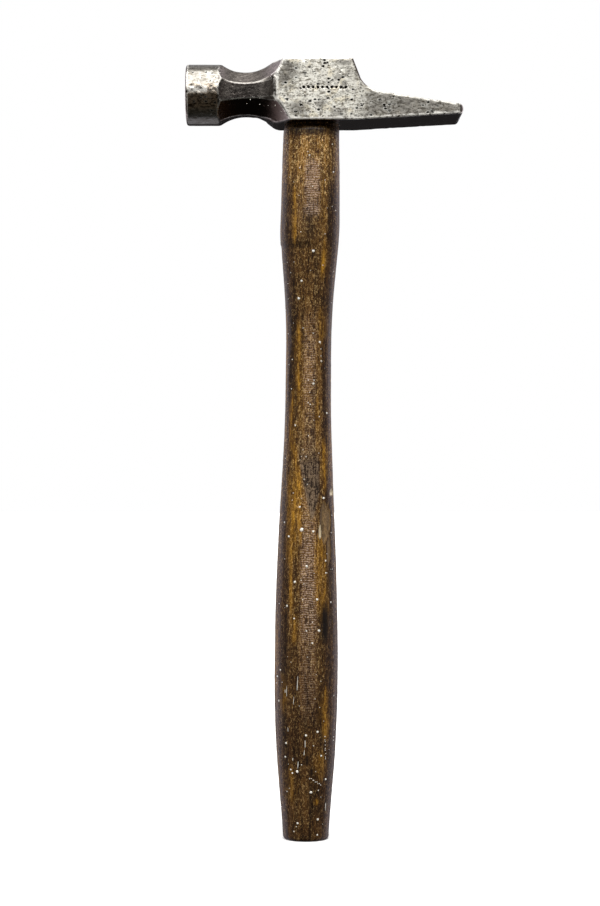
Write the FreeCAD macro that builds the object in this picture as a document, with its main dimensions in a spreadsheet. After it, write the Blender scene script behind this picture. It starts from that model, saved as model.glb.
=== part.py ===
import FreeCAD, Part
import math
import os
import re
import Sketcher
from FreeCAD import Vector

# Cross-pein hammer, standing on the flat end of its handle.
# Frame: the origin is the centre of the butt, +Z runs up the handle to the head, +X points to the pein
# and -X to the striking face. The hammer is symmetric about the plane Y = 0, apart from the scoops on the
# lower corners of the neck, one of which is wider than the other.
# The head and the wedges are drawn about the middle of the eye, and their bodies are then placed there.

# Driving dimensions, in millimetres unless the note says otherwise.
DIMENSIONS = {
    # Where the head sits on the handle.
    "seat_height": (296.7, "underside of the head above the butt"),
    "eye_offset": (2.4, "middle of the eye forward of the butt, because the handle bows"),
    # Head, forged from square bar.
    "block_side": (25.4, "height and depth of the eye block"),
    "face_reach": (52.0, "striking face to the middle of the eye"),
    "bell_diameter": (25.4, "round end that carries the striking face"),
    "bell_rim": (0.9, "chamfer round the striking face"),
    "bell_length": (13.2, "striking face to the start of the neck"),
    "bell_runout": (1.8, "how far the round turning runs on into the neck"),
    "flat_radius": (8.55, "half the neck, at its top and side flats"),
    "sole_radius": (9.0, "half the neck, at its bottom flat"),
    "corner_radius": (8.2, "half the neck, at its corner flats"),
    "crown_scoop": (17.5, "radius of the scoop in the top of the neck"),
    "sole_scoop": (20.5, "radius of the scoop in the bottom of the neck"),
    "cheek_scoop": (19.4, "radius of the scoops in the sides of the neck"),
    "upper_scoop": (17.0, "radius of the scoops on the upper corners"),
    "left_lower_scoop": (17.0, "radius of the scoop on the lower corner at the back, in +Y"),
    "right_lower_scoop": (20.0, "radius of the scoop on the lower corner at the front, in -Y"),
    "block_reach": (16.7, "middle of the eye to the top corner of the shoulder"),
    "shoulder_reach": (21.7, "middle of the eye to the foot of the shoulder"),
    "shoulder_drop": (12.8, "top of the block down to the foot of the shoulder"),
    "shoulder_fillet": (9.3, "radius in the foot of the shoulder"),
    "pein_reach": (62.1, "middle of the eye to the pein's edge"),
    "pein_top_drop": (19.0, "top of the block down to the upper edge of the pein"),
    "pein_thickness": (3.8, "thickness at the pein's edge"),
    "pein_round": (1.6, "rounding of the pein's edge"),
    "pein_corner": (2.4, "rounding of the pein's two corners, seen from above"),
    "underside_reach": (18.0, "middle of the eye to where the underside starts to rise"),
    # Eye, narrower in the middle than at its mouths.
    "mouth_length": (22.6, "lower mouth of the eye, along X"),
    "mouth_width": (14.2, "lower mouth of the eye, along Y"),
    "throat_length": (21.0, "narrowest part of the eye, along X"),
    "throat_width": (12.8, "narrowest part of the eye, along Y"),
    "crown_length": (23.0, "upper mouth of the eye, along X"),
    "crown_width": (14.8, "upper mouth of the eye, along Y"),
    "tenon_proud": (0.8, "end of the handle above the top of the head"),
    # Wedges in the end of the handle.
    "wedge_depth": (19.0, "wooden wedge, from the end of the handle downwards"),
    "wedge_head": (3.4, "wooden wedge, thickness at its head"),
    "wedge_point": (1.0, "wooden wedge, thickness at its point, and width of the saw cut"),
    "kerf_depth": (22.5, "saw cut that takes the wooden wedge"),
    "iron_depth": (13.0, "iron wedges, from the end of the handle downwards"),
    "iron_head": (2.2, "iron wedges, thickness at the head"),
    "iron_point": (0.5, "iron wedges, thickness at the point"),
    "iron_width": (9.6, "iron wedges, width across the wooden wedge"),
    "iron_spacing": (11.0, "distance between the two iron wedges"),
    # Handle: an oval section, longer along X than along Y.
    "flatness": (0.8, "depth of the handle along Y over its width along X, a ratio"),
    "butt_chamfer": (1.4, "chamfer round the flat end of the handle"),
    "butt_height": (0.0, "flat end"),
    "butt_width": (18.9, ""),
    "heel_height": (16.0, "flare above the flat end"),
    "heel_width": (21.3, ""),
    "palm_height": (40.0, "lower side of the swell"),
    "palm_width": (24.8, ""),
    "swell_height": (76.0, "fullest part of the grip"),
    "swell_width": (26.3, ""),
    "finger_height": (106.0, "upper side of the swell"),
    "finger_width": (25.0, ""),
    "thumb_height": (134.0, "taper above the grip"),
    "thumb_width": (22.7, ""),
    "taper_height": (164.0, "upper end of the taper"),
    "taper_width": (20.1, ""),
    "waist_height": (199.0, "thinnest part"),
    "waist_width": (18.9, ""),
    "flare_height": (222.0, "start of the flare under the head"),
    "flare_width": (20.0, ""),
    "rise_height": (236.0, "middle of the flare"),
    "rise_width": (22.2, ""),
    "collar_height": (250.0, "top of the flare"),
    "collar_width": (24.3, ""),
    "cuff_height": (262.0, "lower part of the cuff below the head"),
    "cuff_width": (24.4, ""),
    "sleeve_height": (274.0, "middle of the cuff"),
    "sleeve_width": (24.0, ""),
    "rim_height": (285.0, "upper part of the cuff"),
    "rim_width": (23.6, ""),
    "seat_width": (23.2, "just below the head"),
    "seat_gap": (2.6, "height of the taper between the straight part and the eye"),
}
STATIONS = (
    ("butt_height", "butt_width"),
    ("heel_height", "heel_width"),
    ("palm_height", "palm_width"),
    ("swell_height", "swell_width"),
    ("finger_height", "finger_width"),
    ("thumb_height", "thumb_width"),
    ("taper_height", "taper_width"),
    ("waist_height", "waist_width"),
    ("flare_height", "flare_width"),
    ("rise_height", "rise_width"),
    ("collar_height", "collar_width"),
    ("cuff_height", "cuff_width"),
    ("sleeve_height", "sleeve_width"),
    ("rim_height", "rim_width"),
)
IRON_WEDGES = {"iron_wedge_face_side": -1, "iron_wedge_pein_side": 1}  # node name and sign of X
OVERSHOOT = 5.0  # how far a cutting sketch reaches past what it removes
NEAR = 0.05  # how closely an edge has to lie to the place it is looked for

document = FreeCAD.newDocument("hammer")
sheet = document.addObject("Spreadsheet::Sheet", "Dims")
for row, (alias, (value, note)) in enumerate(DIMENSIONS.items(), start=1):
    sheet.set(f"A{row}", alias)
    sheet.set(f"B{row}", str(value))
    sheet.set(f"C{row}", note)
    sheet.setAlias(f"B{row}", alias)
document.recompute()


def expression(text):
    """Puts the sheet's name before each alias in a formula."""
    return re.sub("[a-z_]+", lambda word: f"Dims.{word[0]}" if word[0] in DIMENSIONS else word[0], text)


def number(text):
    """Works out a formula of the sheet's cells."""
    return float(sheet.evalExpression(expression(text)))


def new_body(label, at_eye=False):
    """Adds a body, placed at the middle of the eye if its sketches are drawn about that point."""
    body = document.addObject("PartDesign::Body", label)
    body.Label = label
    if at_eye:
        body.setExpression("Placement.Base.x", expression("eye_offset"))
        body.setExpression("Placement.Base.z", expression("seat_height + block_side / 2"))
    return body


def new_sketch(body, name, plane, height="0"):
    """Adds a sketch on one of the body's origin planes, moved along the plane's normal."""
    sketch = body.newObject("Sketcher::SketchObject", name)
    support = next(item for item in body.Origin.OriginFeatures if item.Role == plane)
    sketch.AttachmentSupport = [(support, "")]
    sketch.MapMode = "FlatFace"
    if height != "0":
        sketch.setExpression("AttachmentOffset.Base.z", expression(height))
    return sketch


def bind(sketch, kind, *place_and_text):
    """Adds a dimension to a sketch and binds it to a formula of the sheet's cells."""
    *place, text = place_and_text
    index = sketch.addConstraint(Sketcher.Constraint(kind, *place, number(text)))
    sketch.setExpression(f"Constraints[{index}]", expression(text))


def draw_path(sketch, corners):
    """Draws straight lines through corners, which are pairs of formulas, and returns the last line."""
    points = [Vector(number(across), number(up), 0) for across, up in corners]
    lines = [sketch.addGeometry(Part.LineSegment(*pair)) for pair in zip(points, points[1:])]
    for line, follower in zip(lines, lines[1:]):
        sketch.addConstraint(Sketcher.Constraint("Coincident", line, 2, follower, 1))
    for line, (across, up) in zip(lines, corners):
        bind(sketch, "DistanceX", line, 1, across)
        bind(sketch, "DistanceY", line, 1, up)
    across, up = corners[-1]
    bind(sketch, "DistanceX", lines[-1], 2, across)
    bind(sketch, "DistanceY", lines[-1], 2, up)
    return lines[-1]


def draw_outline(sketch, corners):
    """Draws a closed outline of straight lines through corners, which are pairs of formulas."""
    last_line = draw_path(sketch, corners)
    end = Vector(number(corners[-1][0]), number(corners[-1][1]), 0)
    start = Vector(number(corners[0][0]), number(corners[0][1]), 0)
    closing_line = sketch.addGeometry(Part.LineSegment(end, start))
    sketch.addConstraint(Sketcher.Constraint("Coincident", last_line, 2, closing_line, 1))
    sketch.addConstraint(Sketcher.Constraint("Coincident", closing_line, 2, 0, 1))


def draw_circle(sketch, across, up, radius):
    centre = Vector(number(across), number(up), 0)
    circle = sketch.addGeometry(Part.Circle(centre, Vector(0, 0, 1), number(radius)))
    bind(sketch, "DistanceX", circle, 3, across)
    bind(sketch, "DistanceY", circle, 3, up)
    bind(sketch, "Radius", circle, radius)


def oval(body, name, height, middle, length, width):
    """Draws a level ellipse, its long axis along X and centred on Y = 0."""
    sketch = new_sketch(body, name, "XY_Plane", height)
    centre = Vector(number(middle), 0, 0)
    ellipse = sketch.addGeometry(Part.Ellipse(centre, number(length) / 2, number(width) / 2))
    sketch.exposeInternalGeometry(ellipse)
    long_axis = ellipse + 1
    short_axis = ellipse + 2
    sketch.addConstraint(Sketcher.Constraint("Horizontal", long_axis))
    bind(sketch, "Distance", long_axis, length)
    bind(sketch, "Distance", short_axis, width)
    bind(sketch, "DistanceX", ellipse, 3, middle)
    bind(sketch, "DistanceY", ellipse, 3, "0")
    return sketch


def loft(body, kind, name, sections):
    """Adds an Additive or a Subtractive loft through the sections."""
    feature = body.newObject(f"PartDesign::{kind}Loft", name)
    feature.Profile = sections[0]
    feature.Sections = sections[1:]
    document.recompute()


def pad(body, name, sketch, length):
    """Pads a sketch by half the length to each side of its plane."""
    feature = body.newObject("PartDesign::Pad", name)
    feature.Profile = sketch
    feature.SideType = "Symmetric"
    feature.setExpression("Length", expression(length))
    document.recompute()


def pad_upwards(body, name, sketch, length):
    """Pads a level sketch upwards."""
    feature = body.newObject("PartDesign::Pad", name)
    feature.Profile = sketch
    feature.setExpression("Length", expression(length))
    document.recompute()


def check_removed(body, before, name):
    if not body.Shape.Volume < before - NEAR:
        raise RuntimeError(f"{name} removes nothing")


def cut(body, name, sketch, length=None):
    """Pockets a sketch to both sides of its plane, all the way unless a length is given."""
    before = body.Shape.Volume
    feature = body.newObject("PartDesign::Pocket", name)
    feature.Profile = sketch
    feature.SideType = "Symmetric"
    if length is None:
        feature.Type = "ThroughAll"
    else:
        feature.setExpression("Length", expression(length))
    document.recompute()
    check_removed(body, before, name)


def dress(body, kind, name, size, chosen):
    """Adds a Fillet or a Chamfer on the edges of the body's last feature that chosen picks out."""
    base = body.Tip
    edges = [f"Edge{index}" for index, edge in enumerate(base.Shape.Edges, start=1) if chosen(edge)]
    feature = body.newObject(f"PartDesign::{kind}", name)
    feature.Base = (base, edges)
    feature.setExpression("Radius" if kind == "Fillet" else "Size", expression(size))
    document.recompute()


def is_across(edge):
    """Says whether an edge runs across the head, along Y."""
    return edge.BoundBox.YLength > NEAR


def near(edge, across, up=None):
    """Says whether an edge lies at a distance across (X) and, if given, at a height (Z)."""
    middle = edge.CenterOfMass
    return abs(middle.x - across) < NEAR and (up is None or abs(middle.z - up) < NEAR)


def draw_head_outline(sketch):
    top = "block_side / 2"
    draw_outline(
        sketch,
        [
            ("- face_reach", f"- {top}"),
            ("underside_reach", f"- {top}"),
            ("pein_reach", f"{top} - pein_top_drop - pein_thickness"),
            ("pein_reach", f"{top} - pein_top_drop"),
            ("shoulder_reach", f"{top} - shoulder_drop"),
            ("block_reach", top),
            ("- face_reach", top),
        ],
    )


def turn_bell(body):
    """Turns the face end of the square bar round, with a chamfered rim, as far as the neck."""
    sketch = new_sketch(body, "bell_profile", "XZ_Plane")
    outside = f"block_side + {OVERSHOOT}"
    draw_outline(
        sketch,
        [
            (f"- face_reach - {OVERSHOOT}", "bell_diameter / 2 - bell_rim"),
            ("- face_reach", "bell_diameter / 2 - bell_rim"),
            ("- face_reach + bell_rim", "bell_diameter / 2"),
            ("- face_reach + bell_length + bell_runout", "bell_diameter / 2"),
            ("- face_reach + bell_length + bell_runout", outside),
            (f"- face_reach - {OVERSHOOT}", outside),
        ],
    )
    before = body.Shape.Volume
    groove = body.newObject("PartDesign::Groove", "bell")
    groove.Profile = sketch
    groove.ReferenceAxis = (sketch, ["H_Axis"])
    groove.Angle = 360
    document.recompute()
    check_removed(body, before, "bell")


def scoop(body, name, roll, radius, deepest):
    """Hollows one flat of the neck with a round cutter that lies across the bar.

    roll turns the cutter about the head's axis, in degrees from the top towards +Y, radius is the
    cutter's, and deepest is half the neck's size at the bottom of the scoop. The scoop starts at the back
    of the bell.
    """
    sketch = new_sketch(body, f"{name}_profile", "XZ_Plane")
    sketch.AttachmentOffset = FreeCAD.Placement(Vector(), FreeCAD.Rotation(Vector(1, 0, 0), -roll))
    depth = f"(bell_diameter / 2 - {deepest})"
    half_chord = f"sqrt(2 * {radius} * {depth} - {depth} ^ 2)"
    draw_circle(sketch, f"bell_length - face_reach + {half_chord}", f"{deepest} + {radius}", radius)
    cut(body, name, sketch)


def round_pein_corner(body, name, side):
    """Rounds one corner of the pein in plan. side is 1 or -1, for the sign of Y."""
    sketch = new_sketch(body, f"{name}_profile", "XY_Plane")
    tangent_x = "pein_reach - pein_corner"
    tangent_y = f"{side} * (block_side / 2 - pein_corner)"
    edge_y = f"{side} * block_side / 2"
    outside_x = f"pein_reach + {OVERSHOOT}"
    outside_y = f"{side} * (block_side / 2 + {OVERSHOOT})"
    corners = [
        (tangent_x, edge_y),
        (tangent_x, outside_y),
        (outside_x, outside_y),
        (outside_x, tangent_y),
        ("pein_reach", tangent_y),
    ]
    last_line = draw_path(sketch, corners)
    centre = Vector(number(tangent_x), number(tangent_y), 0)
    circle = Part.Circle(centre, Vector(0, 0, 1), number("pein_corner"))
    start, end = sorted((0, side * math.pi / 2))
    arc = sketch.addGeometry(Part.ArcOfCircle(circle, start, end))
    at_edge, at_tip = (2, 1) if side > 0 else (1, 2)
    sketch.addConstraint(Sketcher.Constraint("Coincident", arc, at_tip, last_line, 2))
    sketch.addConstraint(Sketcher.Constraint("Coincident", arc, at_edge, 0, 1))
    bind(sketch, "DistanceX", arc, 3, tangent_x)
    cut(body, name, sketch)


def eye_sections(body, middle="0", centre="0"):
    """Draws the three ovals of the eye, from its lower mouth up. centre is the height of its middle."""
    return [
        oval(body, "eye_mouth", f"{centre} - block_side / 2", middle, "mouth_length", "mouth_width"),
        oval(body, "eye_throat", centre, middle, "throat_length", "throat_width"),
        oval(body, "eye_crown", f"{centre} + block_side / 2", middle, "crown_length", "crown_width"),
    ]


def iron_wedge_outline(sketch, side, middle="0", centre="0"):
    """Draws an iron wedge, seen along Y. side is -1 for the one towards the face, and 1 for the other."""
    place = f"{middle} + {side} * iron_spacing / 2"
    top = f"{centre} + block_side / 2 + tenon_proud"
    draw_outline(
        sketch,
        [
            (f"{place} - iron_head / 2", top),
            (f"{place} - iron_point / 2", f"{top} - iron_depth"),
            (f"{place} + iron_point / 2", f"{top} - iron_depth"),
            (f"{place} + iron_head / 2", top),
        ],
    )


def cut_iron_slots(body, middle="0", centre="0"):
    """Cuts the room that the iron wedges take in the end of the handle or in the wooden wedge."""
    for name, side in IRON_WEDGES.items():
        sketch = new_sketch(body, f"{name}_slot_profile", "XZ_Plane")
        iron_wedge_outline(sketch, side, middle, centre)
        cut(body, f"{name}_slot", sketch, "iron_width")


def build_head():
    body = new_body("head", at_eye=True)
    outline = new_sketch(body, "side_outline", "XZ_Plane")
    draw_head_outline(outline)
    pad(body, "blank", outline, "block_side")
    foot_x = number("shoulder_reach")
    foot_z = number("block_side / 2 - shoulder_drop")
    dress(body, "Fillet", "shoulder", "shoulder_fillet", lambda edge: near(edge, foot_x, foot_z))
    tip_x = number("pein_reach")
    dress(body, "Fillet", "pein_edge", "pein_round", lambda edge: near(edge, tip_x) and is_across(edge))
    turn_bell(body)
    scoop(body, "crown_scoop", 0, "crown_scoop", "flat_radius")
    scoop(body, "sole_scoop", 180, "sole_scoop", "sole_radius")
    for side, word in ((1, "left"), (-1, "right")):
        scoop(body, f"{word}_scoop", 90 * side, "cheek_scoop", "flat_radius")
        scoop(body, f"{word}_upper_corner", 45 * side, "upper_scoop", "corner_radius")
        scoop(body, f"{word}_lower_corner", 135 * side, f"{word}_lower_scoop", "corner_radius")
        round_pein_corner(body, f"{word}_pein_corner", side)
    mouth, throat, crown = eye_sections(body)
    before = body.Shape.Volume
    loft(body, "Subtractive", "eye_lower_half", [mouth, throat])
    loft(body, "Subtractive", "eye_upper_half", [throat, crown])
    check_removed(body, before, "eye")
    return body


def build_handle():
    """Lofts the handle through its ovals, and fits its end to the eye, with a saw cut for the wedges."""
    body = new_body("handle")
    ovals = []
    for height, width in STATIONS:
        bow = f"eye_offset * ({height} / seat_height) ^ 2"
        ovals.append(oval(body, f"oval_{height}", height, bow, width, f"{width} * flatness"))
    seat_depth = "seat_width * flatness"
    seat = oval(body, "oval_seat", "seat_height - seat_gap", "eye_offset", "seat_width", seat_depth)
    ovals.append(seat)
    loft(body, "Additive", "stick", ovals)
    centre = "seat_height + block_side / 2"
    mouth, throat, crown = eye_sections(body, "eye_offset", centre)
    loft(body, "Additive", "seat", [seat, mouth])
    loft(body, "Additive", "tenon_lower_half", [mouth, throat])
    loft(body, "Additive", "tenon_upper_half", [throat, crown])
    pad_upwards(body, "tenon_end", crown, "tenon_proud")
    dress(body, "Chamfer", "butt_edge", "butt_chamfer", lambda edge: abs(edge.CenterOfMass.z) < NEAR)
    top = f"{centre} + block_side / 2 + tenon_proud"
    kerf = new_sketch(body, "kerf_profile", "YZ_Plane")
    draw_outline(
        kerf,
        [
            ("- wedge_head / 2", top),
            ("- wedge_point / 2", f"{top} - wedge_depth"),
            ("- wedge_point / 2", f"{top} - kerf_depth"),
            ("wedge_point / 2", f"{top} - kerf_depth"),
            ("wedge_point / 2", f"{top} - wedge_depth"),
            ("wedge_head / 2", top),
        ],
    )
    cut(body, "kerf", kerf)
    cut_iron_slots(body, "eye_offset", centre)
    return body


def build_wooden_wedge():
    """Fills the eye like the handle's end does, then cuts away all but the wedge between its two halves."""
    body = new_body("wooden_wedge", at_eye=True)
    mouth, throat, crown = eye_sections(body)
    loft(body, "Additive", "plug_lower_half", [mouth, throat])
    loft(body, "Additive", "plug_upper_half", [throat, crown])
    pad_upwards(body, "plug_end", crown, "tenon_proud")
    top = "block_side / 2 + tenon_proud"
    below = f"- block_side / 2 - {OVERSHOOT}"
    waste = new_sketch(body, "waste_profile", "YZ_Plane")
    draw_outline(
        waste,
        [
            ("wedge_head / 2", top),
            ("crown_width", top),
            ("crown_width", below),
            ("- crown_width", below),
            ("- crown_width", top),
            ("- wedge_head / 2", top),
            ("- wedge_point / 2", f"{top} - wedge_depth"),
            ("wedge_point / 2", f"{top} - wedge_depth"),
        ],
    )
    cut(body, "waste", waste)
    cut_iron_slots(body)
    return body


def build_iron_wedge(name, side):
    body = new_body(name, at_eye=True)
    outline = new_sketch(body, "side_outline", "XZ_Plane")
    iron_wedge_outline(outline, side)
    pad(body, "blade", outline, "iron_width")
    return body


def check_document(bodies):
    """Stops if any object failed, or if a sub-part isn't one valid solid."""
    for item in document.Objects:
        if "Invalid" in item.State or "Error" in item.State:
            raise RuntimeError(f"{item.Label} failed: {item.State}")
    for body in bodies:
        shape = body.Shape
        if shape.isNull() or not shape.isValid() or len(shape.Solids) != 1:
            raise RuntimeError(f"{body.Label} isn't one valid solid")


def main():
    bodies = [build_head(), build_handle(), build_wooden_wedge()]
    bodies += [build_iron_wedge(name, side) for name, side in IRON_WEDGES.items()]
    document.recompute()
    check_document(bodies)
    os.makedirs("parts", exist_ok=True)
    for body in bodies:
        body.Shape.exportStep(f"parts/{body.Label}.step")


main()
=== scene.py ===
import itertools
import math

import bmesh
import bpy
import numpy as np
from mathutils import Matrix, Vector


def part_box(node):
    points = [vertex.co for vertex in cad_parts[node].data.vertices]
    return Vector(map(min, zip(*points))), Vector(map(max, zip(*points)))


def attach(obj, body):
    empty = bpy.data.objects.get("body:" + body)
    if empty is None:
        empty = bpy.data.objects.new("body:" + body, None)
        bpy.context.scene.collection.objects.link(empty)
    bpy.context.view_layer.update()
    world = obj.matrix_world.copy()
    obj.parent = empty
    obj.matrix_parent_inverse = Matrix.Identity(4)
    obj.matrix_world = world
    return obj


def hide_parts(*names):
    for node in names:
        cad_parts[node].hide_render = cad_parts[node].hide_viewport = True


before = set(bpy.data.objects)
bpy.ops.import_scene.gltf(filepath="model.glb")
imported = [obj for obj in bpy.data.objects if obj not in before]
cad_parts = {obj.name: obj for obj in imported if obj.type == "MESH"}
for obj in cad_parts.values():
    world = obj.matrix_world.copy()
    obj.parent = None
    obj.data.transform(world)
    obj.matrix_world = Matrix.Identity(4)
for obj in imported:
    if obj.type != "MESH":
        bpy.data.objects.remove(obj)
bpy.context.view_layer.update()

import openvdb
from mathutils.kdtree import KDTree

# The hammer stands on the end of its handle. +Z runs up the handle, +X points to the pein, and the
# camera looks along +Y. Meshes are worked out in millimetres and stored in metres.

MM = 0.001
LATTICE = 32


def box_mm(node):
    low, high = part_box(node)
    return np.array(low) / MM, np.array(high) / MM


HEAD_LOW, HEAD_HIGH = box_mm("head")
TENON_TOP = box_mm("handle")[1][2]
WEDGE_LOW, WEDGE_HIGH = box_mm("wooden_wedge")
IRON_WEDGES = ("iron_wedge_face_side", "iron_wedge_pein_side")

# Head, in millimetres about the middle of its eye.
FACE_REACH = 52.0
HALF_SIDE = (HEAD_HIGH[2] - HEAD_LOW[2]) / 2
EYE_X = HEAD_LOW[0] + FACE_REACH
SEAT_Z = HEAD_LOW[2]
EYE_Z = SEAT_Z + HALF_SIDE
PEIN_REACH = HEAD_HIGH[0] - EYE_X
NECK_START = -38.8
TURNED_TO = -37.0
BLOCK_START = -20.0
BELL_RADIUS = 12.5
BELL_DROP = 0.35
BELL_RIM = 0.55
BELL_EDGE = 0.2
RIM_EDGE = 0.35
SHOULDER_TOP = (16.7, HALF_SIDE)
SHOULDER_FOOT = (21.7, -0.1)
PEIN_TOP = (PEIN_REACH, -6.3)
UNDERSIDE_BEND = (18, -HALF_SIDE)
PEIN_UNDERSIDE = (PEIN_REACH, -10.1)
SHOULDER_EDGE = 0.45
SHOULDER_BLEND = 4.7
PEIN_NOSE = 1.6
PEIN_CORNER = 2.4
# How round the worn edges of the cheeks are, and how much that varies.
CHEEK_EDGE = (0.52, 0.22)
# Scoops in the neck: degrees from the top towards +Y, radius, and half the neck where it is deepest.
SCOOPS = (
    (0, 17.5, 8.55), (180, 20.5, 9), (90, 19.4, 8.55), (-90, 19.4, 8.55), (45, 17, 8.2), (-45, 17, 8.2),
    (135, 17, 8.2), (-135, 20, 8.2),
)
# Two scoops run into the block over a round shoulder: its place along and outward, and its radius.
SHOULDERS = {0: (-9.8, -0.15, 12.85), 135: (-9.5, 9, 10)}
SHOULDER_FILLET = 1.5
# Length and width of the eye at the underside, halfway and at the top.
EYE_MOUTH = (22.6, 14.2)
EYE_THROAT = (21, 12.8)
EYE_CROWN = (23, 14.8)
EYE_EDGE = 0.45
HEAD_VOXEL = 0.38
HEAD_MARGIN = 1.2

# Handle: height and width of its oval sections, in millimetres.
STATIONS = (
    (0, 18.9), (16, 21.3), (40, 24.8), (76, 26.3), (106, 25), (134, 22.7), (164, 20.1), (199, 18.9),
    (222, 20), (236, 22.2), (250, 24.3), (262, 24.4), (274, 24), (285, 23.6), (294.1, 23.2),
)
FLATNESS = 0.8
SEAT_GAP = 2.6
TENON_GAP = 0.06
BUTT_ROUND = 1.4
AROUND = 200
GRIP_RINGS = 410
MEAN_RADIUS = 12
CAP_RINGS = 14

# Random marks: how many, and the smallest and largest radius and depth.
PITS = (700, (0.4, 0.8), (0.02, 0.09))
DINGS = (90, (0.7, 2.2), (0.04, 0.22))
DENTS = (150, (0.5, 2.2), (0.04, 0.2))
# Uneven surfaces, as sums of random waves: height, size and seed.
HEAD_RELIEF = ((0.05, 9, 1), (0.022, 3.5, 2), (0.008, 1.2, 3))
HANDLE_RELIEF = (
    (0.16, (7, 7, 34), 21), (0.07, (3, 3, 16), 22), (0.035, (0.9, 0.9, 9), 23), (0.03, 1.6, 24),
)
BORDER_WANDER = ((0.6, 1.7, 6), (0.5, 5, 7))
STREAK_WANDER = ((0.55, (4, 4, 11), 25), (0.35, (1.1, 1.1, 5), 28))
# Row of punched dots on the near cheek: first, last, height and radius.
DOTS = (-3.3, 13.9, 0.5, 0.58)
DOT_COUNT = 10
DOT_DEPTH = 0.4
# Dull places on the cheeks: side (-1 is the near one), middle, half sizes and strength.
DULL_SPOTS = (
    (-1, -5.7, -7.9, 5, 3.6, 1), (-1, 3.8, -6.4, 2.6, 2.2, 0.8), (-1, -10.5, 7, 6, 5, 0.9),
    (-1, -9.5, 1, 3, 2.5, 0.35), (-1, 13, 10.6, 3.5, 1.2, 0.9), (-1, 34, -8, 15, 2.8, 0.7),
    (-1, 50, -6.5, 14, 3.5, 0.7), (-1, 27, -3, 5, 2.5, 0.4), (1, -3, 6.5, 6, 4, 0.9),
    (1, 9, -6, 7, 4, 0.9), (1, 30, -6, 12, 3, 0.7), (1, 52, -7.5, 9, 3, 0.7),
)

# Marks on the front of the handle, in millimetres: height, then the place across from its middle line.
# Orange streaks: height, across at the top and at the bottom, half length, half width and strength.
STREAKS = (
    (259, -6.5, -6.2, 12, 0.7, 1), (258, 5.1, 5.6, 17, 0.9, 0.4), (240, 5.6, 5.2, 8, 1, 0.9),
    (197, -4.5, -3.8, 16, 1.6, 0.9), (213, 5.3, 5.4, 7, 1.2, 0.6), (172, 3.5, 3.4, 12, 1, 0.7),
    (177, -2.6, -2.4, 10, 0.8, 0.7), (174, -6.7, -6.4, 13, 1, 1), (158, -6, -4.7, 8, 1.2, 1),
    (145, -4.9, -4.3, 10, 2.6, 1), (131, -3.3, -3, 8, 1.6, 0.7), (132, -6.3, -5.7, 9, 1.4, 1),
    (122, -6.6, -6.7, 8, 1.9, 0.7), (107, -6.3, -6.2, 12, 0.8, 0.8), (88, -4.9, -4.9, 6, 1.6, 0.6),
    (155, 6.9, 7, 11, 0.8, 0.9), (110, 5.3, 6.8, 17, 2.4, 0.9), (104, 7.4, 7.4, 4, 1, 1),
    (61, -9.4, -9.3, 8, 1.1, 0.6), (53, 7.5, 7.6, 10, 1.6, 0.9), (24, -6.2, -6.2, 8, 2.2, 0.3),
    (32, 5.7, 5.7, 6, 2, 0.5), (16.6, 3.9, 3.9, 1.4, 0.9, 1),
)
# Random streaks and dark stains on the other sides: how many, the turn left free at the front, and the
# limits of the half length, half width and strength.
BACK_STREAKS = (34, 1.25, (7, 20), (0.7, 2.2), (0.5, 1))
BACK_STAINS = (14, 1.2, (3, 14), (0.8, 2.2), (0.4, 0.9))
BACK_HEIGHTS = (12, 285)
# Dark stains, and at 293.5 a painted shadow of the head across the top of the handle: height, across, half
# length, half width and strength.
STAINS_AND_SHADOW = (
    (90, 7.4, 8, 2, 1), (34, 0.4, 2.2, 1.2, 0.9), (29, 2, 2, 1.1, 0.8), (246.6, -3.4, 2, 6, 0.5),
    (252.5, 0, 7, 3.2, 0.4), (293.5, 0, 2.4, 14, 0.75), (18, 1.5, 9, 1.2, 0.5),
    (78, -8.5, 16, 1.6, 0.5),
)
# Where the varnish is rubbed to bare wood: height, across, half length, half width, depth, paleness.
BARE = (
    (132, 7.6, 8.4, 2.4, 0.45, 0.3), (127.8, 5.35, 3, 0.55, 0.12, 1), (144, 10, 1.5, 0.8, 0.5, 0.9),
    (121, 9, 7, 0.7, 0.15, 0.3),
)
# Height and how light the wood is.
TONES = (
    (0, 0), (40, 0.03), (75, 0.25), (105, 0.4), (150, 0.53), (200, 0.33), (232, 0.28), (262, 0.27),
    (280, 0.88), (296, 1), (300, 0.2),
)
# Height and how much the middle of the near side is polished by the hand; it also sets how strong the painted
# sheen and the painted glints on its ripples are.
POLISH_AND_SHEEN = (
    (48, 0), (62, 0.35), (80, 0.35), (92, 0.9), (120, 0.95), (134, 0.45), (180, 0.35), (192, 0.6),
    (208, 0.5), (222, 0), (257, 0), (260, 1.2), (264, 0.6), (268, 1.2), (278, 1.2), (283, 0),
)
# A fibrous wedge-shaped patch: height and its middle, then height and its half width.
VEE_MIDDLE = ((133, 2), (145, 2), (161, 0.2))
VEE_REACH = ((132, -1.5), (134, 1.1), (145, 3.5), (161, 4.6))
# A low step across the left half: its lower edge, its top, and where it fades out again.
LEDGE = (245.8, 247, 250, 264)
LEDGE_HEIGHT = 0.3

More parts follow.
